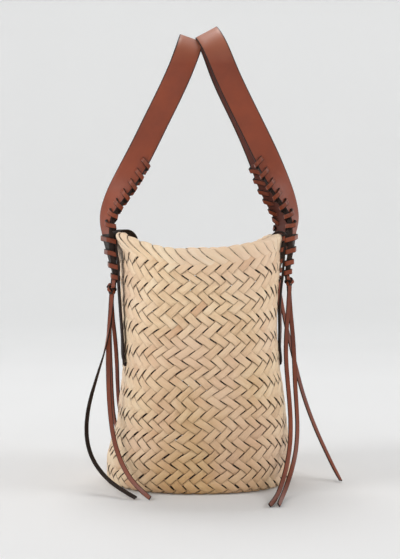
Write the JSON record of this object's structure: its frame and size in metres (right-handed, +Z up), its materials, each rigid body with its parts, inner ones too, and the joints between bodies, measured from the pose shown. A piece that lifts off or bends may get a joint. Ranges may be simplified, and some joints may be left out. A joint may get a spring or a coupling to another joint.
{
  "type": "bucket bag",
  "caption": "Plaited palm-leaf bucket bag with leather handles whip-stitched and lashed to the rim, which swing down, and loose lace ends hanging to the floor.",
  "frame": {"origin": "centre of the base's underside, on the floor that the bag stands on", "axes": "+Z up through the mouth; +X towards the right handle, -X towards the left handle; -Y is the front"},
  "size_m": [0.2886, 0.3129, 0.515],
  "materials": {
    "straw": "matt plaited palm leaf, natural straw colour with some browner strips",
    "straw_rim": "matt palm leaf strips folded over the rim",
    "strap_leather": "smooth tan to chestnut leather with a soft sheen and dark cut edges",
    "dark_leather": "dark brown, nearly black leather reverse and edges, matt",
    "lace_leather": "narrow brown leather lace, matt, dark on its reverse"
  },
  "bodies": {
    "basket": {"anchor_loop_left_back": "dark_leather", "anchor_loop_left_front": "dark_leather", "anchor_loop_right_back": "dark_leather", "anchor_loop_right_front": "dark_leather", "knot_left_back": "lace_leather", "knot_left_front": "lace_leather", "knot_right_back": "lace_leather", "knot_right_front": "lace_leather", "lace_left_back_inner": "lace_leather", "lace_left_back_outer": "lace_leather", "lace_left_front_inner": "lace_leather", "lace_left_front_outer": "lace_leather", "lace_right_back_inner": "lace_leather", "lace_right_back_outer": "lace_leather", "lace_right_front_inner": "lace_leather", "lace_right_front_outer": "lace_leather", "lashing_left_back": "lace_leather", "lashing_left_front": "lace_leather", "lashing_right_back": "lace_leather", "lashing_right_front": "lace_leather", "rim_fold": "straw_rim", "strap_end_left_back": "dark_leather", "strap_end_left_front": "dark_leather", "strap_end_right_back": "dark_leather", "strap_end_right_front": "dark_leather", "woven_base": "straw", "woven_wall": "straw"},
    "handle_left": {"lining_left_back": "dark_leather", "lining_left_front": "dark_leather", "strap_left": "strap_leather", "whip_stitches_left_back": "lace_leather", "whip_stitches_left_front": "lace_leather"},
    "handle_right": {"lining_right_back": "dark_leather", "lining_right_front": "dark_leather", "strap_right": "strap_leather", "whip_stitches_right_back": "lace_leather", "whip_stitches_right_front": "lace_leather"}
  },
  "joints": [
    {"name": "handle_left_swing", "type": "hinge", "parent": "basket", "child": "handle_left", "pos_m": [-0.1024, 0, 0.283], "axis": [0, -1, 0], "range_deg": [0, 100]},
    {"name": "handle_right_swing", "type": "hinge", "parent": "basket", "child": "handle_right", "pos_m": [0.1024, 0, 0.283], "axis": [0, 1, 0], "range_deg": [0, 100]}
  ]
}
